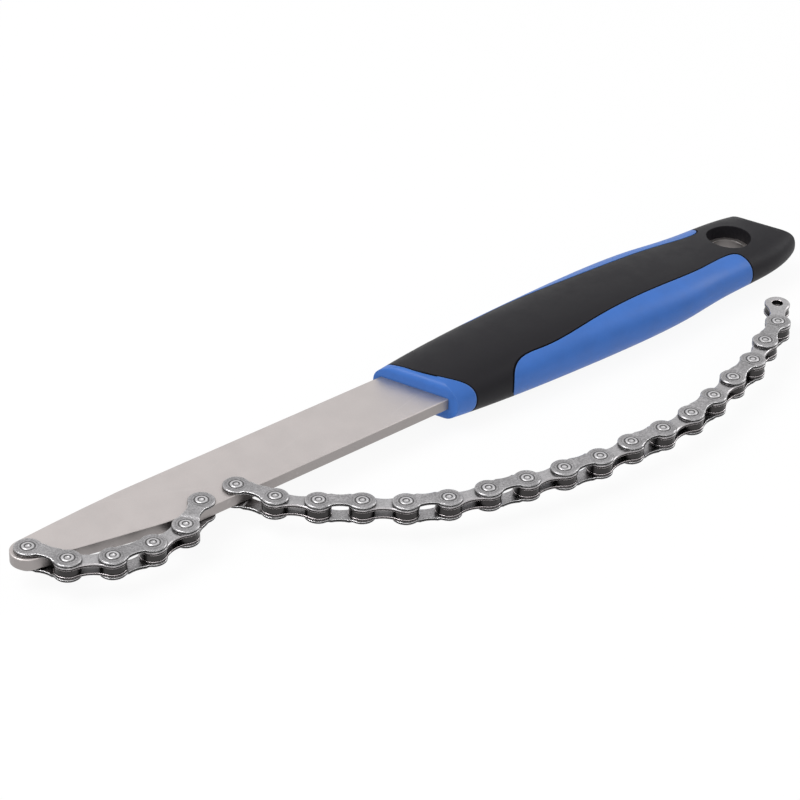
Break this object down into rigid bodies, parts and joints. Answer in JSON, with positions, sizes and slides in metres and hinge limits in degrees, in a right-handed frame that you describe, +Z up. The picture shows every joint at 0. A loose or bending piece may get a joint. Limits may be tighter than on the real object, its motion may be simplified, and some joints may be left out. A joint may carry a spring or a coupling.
{
  "type": "bicycle chain whip",
  "caption": "Chain whip for holding a bicycle sprocket: flat steel bar in a two-colour moulded grip, with a short looped chain at the nose and a long free chain.",
  "frame": {"origin": "centre of the hanging hole, on the middle plane of the bar", "axes": "+X from the nose to the grip's tail, +Z up out of the bar's flat face, +Y across the bar, away from the chains"},
  "size_m": [0.3048, 0.0866, 0.0194],
  "materials": {
    "bar_steel": "satin, fine grain",
    "blue_plastic": "satin",
    "black_rubber": "soft matte",
    "outer_steel": "satin",
    "inner_steel": "satin",
    "pin_steel": "satin",
    "roller_steel": "polished"
  },
  "bodies": {
    "tool": {"steel_bar": "bar_steel", "grip_body": "blue_plastic", "grip_cover": "black_rubber"},
    "short_link1": {"short_link1_plates": "outer_steel", "short_link1_pins": "pin_steel"},
    "short_link2": {"short_link2_plates": "inner_steel"},
    "short_link2_roller_a": {"short_link2_roller_a": "roller_steel"},
    "short_link2_roller_b": {"short_link2_roller_b": "roller_steel"},
    "short_link3": {"short_link3_plates": "outer_steel", "short_link3_pins": "pin_steel"},
    "short_link4": {"short_link4_plates": "inner_steel"},
    "short_link4_roller_a": {"short_link4_roller_a": "roller_steel"},
    "short_link4_roller_b": {"short_link4_roller_b": "roller_steel"},
    "short_link5": {"short_link5_plates": "outer_steel", "short_link5_pins": "pin_steel"},
    "long_link1": {"long_link1_plates": "outer_steel", "long_link1_pins": "pin_steel"},
    "long_link2": {"long_link2_plates": "inner_steel"},
    "long_link2_roller_a": {"long_link2_roller_a": "roller_steel"},
    "long_link2_roller_b": {"long_link2_roller_b": "roller_steel"},
    "long_link3": {"long_link3_plates": "outer_steel", "long_link3_pins": "pin_steel"},
    "long_link4": {"long_link4_plates": "inner_steel"},
    "long_link4_roller_a": {"long_link4_roller_a": "roller_steel"},
    "long_link4_roller_b": {"long_link4_roller_b": "roller_steel"},
    "long_link5": {"long_link5_plates": "outer_steel", "long_link5_pins": "pin_steel"},
    "long_link6": {"long_link6_plates": "inner_steel"},
    "long_link6_roller_a": {"long_link6_roller_a": "roller_steel"},
    "long_link6_roller_b": {"long_link6_roller_b": "roller_steel"},
    "long_link7": {"long_link7_plates": "outer_steel", "long_link7_pins": "pin_steel"},
    "long_link8": {"long_link8_plates": "inner_steel"},
    "long_link8_roller_a": {"long_link8_roller_a": "roller_steel"},
    "long_link8_roller_b": {"long_link8_roller_b": "roller_steel"},
    "long_link9": {"long_link9_plates": "outer_steel", "long_link9_pins": "pin_steel"},
    "long_link10": {"long_link10_plates": "inner_steel"},
    "long_link10_roller_a": {"long_link10_roller_a": "roller_steel"},
    "long_link10_roller_b": {"long_link10_roller_b": "roller_steel"},
    "long_link11": {"long_link11_plates": "outer_steel", "long_link11_pins": "pin_steel"},
    "long_link12": {"long_link12_plates": "inner_steel"},
    "long_link12_roller_a": {"long_link12_roller_a": "roller_steel"},
    "long_link12_roller_b": {"long_link12_roller_b": "roller_steel"},
    "long_link13": {"long_link13_plates": "outer_steel", "long_link13_pins": "pin_steel"},
    "long_link14": {"long_link14_plates": "inner_steel"},
    "long_link14_roller_a": {"long_link14_roller_a": "roller_steel"},
    "long_link14_roller_b": {"long_link14_roller_b": "roller_steel"},
    "long_link15": {"long_link15_plates": "outer_steel", "long_link15_pins": "pin_steel"},
    "long_link16": {"long_link16_plates": "inner_steel"},
    "long_link16_roller_a": {"long_link16_roller_a": "roller_steel"},
    "long_link16_roller_b": {"long_link16_roller_b": "roller_steel"},
    "long_link17": {"long_link17_plates": "outer_steel", "long_link17_pins": "pin_steel"},
    "long_link18": {"long_link18_plates": "inner_steel"},
    "long_link18_roller_a": {"long_link18_roller_a": "roller_steel"},
    "long_link18_roller_b": {"long_link18_roller_b": "roller_steel"}
  },
  "joints": [
    {"name": "short_link1_pivot", "type": "hinge", "parent": "tool", "child": "short_link1", "pos_m": [-0.2778, 0.0039, 0], "axis": [0, 0, 1], "range_deg": [-4.25, 3.25]},
    {"name": "short_link2_pivot", "type": "hinge", "parent": "short_link1", "child": "short_link2", "pos_m": [-0.27227, -0.00753, 0], "axis": [0, 0, 1], "range_deg": [-5.92, 7.68]},
    {"name": "short_link2_roller_a_spin", "type": "hinge", "parent": "short_link2", "child": "short_link2_roller_a", "pos_m": [-0.27227, -0.00753, 0], "axis": [0, 0, 1], "continuous": true},
    {"name": "short_link2_roller_b_spin", "type": "hinge", "parent": "short_link2", "child": "short_link2_roller_b", "pos_m": [-0.26165, -0.01449, 0], "axis": [0, 0, 1], "continuous": true},
    {"name": "short_link3_pivot", "type": "hinge", "parent": "short_link2", "child": "short_link3", "pos_m": [-0.26165, -0.01449, 0], "axis": [0, 0, 1], "range_deg": [-1.3, 1.04]},
    {"name": "short_link4_pivot", "type": "hinge", "parent": "short_link3", "child": "short_link4", "pos_m": [-0.24911, -0.0165, 0], "axis": [0, 0, 1], "range_deg": [-2.58, 2.02]},
    {"name": "short_link4_roller_a_spin", "type": "hinge", "parent": "short_link4", "child": "short_link4_roller_a", "pos_m": [-0.24911, -0.0165, 0], "axis": [0, 0, 1], "continuous": true},
    {"name": "short_link4_roller_b_spin", "type": "hinge", "parent": "short_link4", "child": "short_link4_roller_b", "pos_m": [-0.23649, -0.01505, 0], "axis": [0, 0, 1], "continuous": true},
    {"name": "short_link5_pivot", "type": "hinge", "parent": "short_link4", "child": "short_link5", "pos_m": [-0.23649, -0.01505, 0], "axis": [0, 0, 1], "range_deg": [-3.14, 2.45]},
    {"name": "long_link1_pivot", "type": "hinge", "parent": "tool", "child": "long_link1", "pos_m": [-0.21303, -0.0083, 0], "axis": [0, 0, 1], "range_deg": [-45, 2]},
    {"name": "long_link2_pivot", "type": "hinge", "parent": "long_link1", "child": "long_link2", "pos_m": [-0.2078, -0.01987, 0], "axis": [0, 0, -1], "range_deg": [-4, 45]},
    {"name": "long_link2_roller_a_spin", "type": "hinge", "parent": "long_link2", "child": "long_link2_roller_a", "pos_m": [-0.2078, -0.01987, 0], "axis": [0, 0, 1], "continuous": true},
    {"name": "long_link2_roller_b_spin", "type": "hinge", "parent": "long_link2", "child": "long_link2_roller_b", "pos_m": [-0.19922, -0.02924, 0], "axis": [0, 0, 1], "continuous": true},
    {"name": "long_link3_pivot", "type": "hinge", "parent": "long_link2", "child": "long_link3", "pos_m": [-0.19922, -0.02924, 0], "axis": [0, 0, 1], "range_deg": [-45, 4]},
    {"name": "long_link4_pivot", "type": "hinge", "parent": "long_link3", "child": "long_link4", "pos_m": [-0.18942, -0.03732, 0], "axis": [0, 0, -1], "range_deg": [-4, 45]},
    {"name": "long_link4_roller_a_spin", "type": "hinge", "parent": "long_link4", "child": "long_link4_roller_a", "pos_m": [-0.18942, -0.03732, 0], "axis": [0, 0, 1], "continuous": true},
    {"name": "long_link4_roller_b_spin", "type": "hinge", "parent": "long_link4", "child": "long_link4_roller_b", "pos_m": [-0.17974, -0.04553, 0], "axis": [0, 0, 1], "continuous": true},
    {"name": "long_link5_pivot", "type": "hinge", "parent": "long_link4", "child": "long_link5", "pos_m": [-0.17974, -0.04553, 0], "axis": [0, 0, 1], "range_deg": [-45, 4]},
    {"name": "long_link6_pivot", "type": "hinge", "parent": "long_link5", "child": "long_link6", "pos_m": [-0.16862, -0.05167, 0], "axis": [0, 0, -1], "range_deg": [-4, 45]},
    {"name": "long_link6_roller_a_spin", "type": "hinge", "parent": "long_link6", "child": "long_link6_roller_a", "pos_m": [-0.16862, -0.05167, 0], "axis": [0, 0, 1], "continuous": true},
    {"name": "long_link6_roller_b_spin", "type": "hinge", "parent": "long_link6", "child": "long_link6_roller_b", "pos_m": [-0.15646, -0.05534, 0], "axis": [0, 0, 1], "continuous": true},
    {"name": "long_link7_pivot", "type": "hinge", "parent": "long_link6", "child": "long_link7", "pos_m": [-0.15646, -0.05534, 0], "axis": [0, 0, 1], "range_deg": [-45, 4]},
    {"name": "long_link8_pivot", "type": "hinge", "parent": "long_link7", "child": "long_link8", "pos_m": [-0.14419, -0.0586, 0], "axis": [0, 0, -1], "range_deg": [-4, 45]},
    {"name": "long_link8_roller_a_spin", "type": "hinge", "parent": "long_link8", "child": "long_link8_roller_a", "pos_m": [-0.14419, -0.0586, 0], "axis": [0, 0, 1], "continuous": true},
    {"name": "long_link8_roller_b_spin", "type": "hinge", "parent": "long_link8", "child": "long_link8_roller_b", "pos_m": [-0.13177, -0.06127, 0], "axis": [0, 0, 1], "continuous": true},
    {"name": "long_link9_pivot", "type": "hinge", "parent": "long_link8", "child": "long_link9", "pos_m": [-0.13177, -0.06127, 0], "axis": [0, 0, 1], "range_deg": [-45, 6]},
    {"name": "long_link10_pivot", "type": "hinge", "parent": "long_link9", "child": "long_link10", "pos_m": [-0.11928, -0.06354, 0], "axis": [0, 0, -1], "range_deg": [-6, 45]},
    {"name": "long_link10_roller_a_spin", "type": "hinge", "parent": "long_link10", "child": "long_link10_roller_a", "pos_m": [-0.11928, -0.06354, 0], "axis": [0, 0, 1], "continuous": true},
    {"name": "long_link10_roller_b_spin", "type": "hinge", "parent": "long_link10", "child": "long_link10_roller_b", "pos_m": [-0.10658, -0.06369, 0], "axis": [0, 0, 1], "continuous": true},
    {"name": "long_link11_pivot", "type": "hinge", "parent": "long_link10", "child": "long_link11", "pos_m": [-0.10658, -0.06369, 0], "axis": [0, 0, 1], "range_deg": [-45, 8]},
    {"name": "long_link12_pivot", "type": "hinge", "parent": "long_link11", "child": "long_link12", "pos_m": [-0.0939, -0.0644, 0], "axis": [0, 0, -1], "range_deg": [-8, 45]},
    {"name": "long_link12_roller_a_spin", "type": "hinge", "parent": "long_link12", "child": "long_link12_roller_a", "pos_m": [-0.0939, -0.0644, 0], "axis": [0, 0, 1], "continuous": true},
    {"name": "long_link12_roller_b_spin", "type": "hinge", "parent": "long_link12", "child": "long_link12_roller_b", "pos_m": [-0.08121, -0.06378, 0], "axis": [0, 0, 1], "continuous": true},
    {"name": "long_link13_pivot", "type": "hinge", "parent": "long_link12", "child": "long_link13", "pos_m": [-0.08121, -0.06378, 0], "axis": [0, 0, 1], "range_deg": [-45, 10]},
    {"name": "long_link14_pivot", "type": "hinge", "parent": "long_link13", "child": "long_link14", "pos_m": [-0.06879, -0.06112, 0], "axis": [0, 0, -1], "range_deg": [-14, 45]},
    {"name": "long_link14_roller_a_spin", "type": "hinge", "parent": "long_link14", "child": "long_link14_roller_a", "pos_m": [-0.06879, -0.06112, 0], "axis": [0, 0, 1], "continuous": true},
    {"name": "long_link14_roller_b_spin", "type": "hinge", "parent": "long_link14", "child": "long_link14_roller_b", "pos_m": [-0.05663, -0.05747, 0], "axis": [0, 0, 1], "continuous": true},
    {"name": "long_link15_pivot", "type": "hinge", "parent": "long_link14", "child": "long_link15", "pos_m": [-0.05663, -0.05747, 0], "axis": [0, 0, 1], "range_deg": [-45, 18]},
    {"name": "long_link16_pivot", "type": "hinge", "parent": "long_link15", "child": "long_link16", "pos_m": [-0.04435, -0.05423, 0], "axis": [0, 0, -1], "range_deg": [-28, 45]},
    {"name": "long_link16_roller_a_spin", "type": "hinge", "parent": "long_link16", "child": "long_link16_roller_a", "pos_m": [-0.04435, -0.05423, 0], "axis": [0, 0, 1], "continuous": true},
    {"name": "long_link16_roller_b_spin", "type": "hinge", "parent": "long_link16", "child": "long_link16_roller_b", "pos_m": [-0.03293, -0.04868, 0], "axis": [0, 0, 1], "continuous": true},
    {"name": "long_link17_pivot", "type": "hinge", "parent": "long_link16", "child": "long_link17", "pos_m": [-0.03293, -0.04868, 0], "axis": [0, 0, 1], "range_deg": [-45, 40]},
    {"name": "long_link18_pivot", "type": "hinge", "parent": "long_link17", "child": "long_link18", "pos_m": [-0.02142, -0.04331, 0], "axis": [0, 0, -1], "range_deg": [-40, 45]},
    {"name": "long_link18_roller_a_spin", "type": "hinge", "parent": "long_link18", "child": "long_link18_roller_a", "pos_m": [-0.02142, -0.04331, 0], "axis": [0, 0, 1], "continuous": true},
    {"name": "long_link18_roller_b_spin", "type": "hinge", "parent": "long_link18", "child": "long_link18_roller_b", "pos_m": [-0.01228, -0.03449, 0], "axis": [0, 0, 1], "continuous": true}
  ],
  "couplings": [
    {"joint": "short_link2_pivot", "follows": "short_link1_pivot", "ratio": -1.7596},
    {"joint": "short_link3_pivot", "follows": "short_link1_pivot", "ratio": 0.25961},
    {"joint": "short_link4_pivot", "follows": "short_link1_pivot", "ratio": 0.55914},
    {"joint": "short_link5_pivot", "follows": "short_link1_pivot", "ratio": 0.69086}
  ]
}
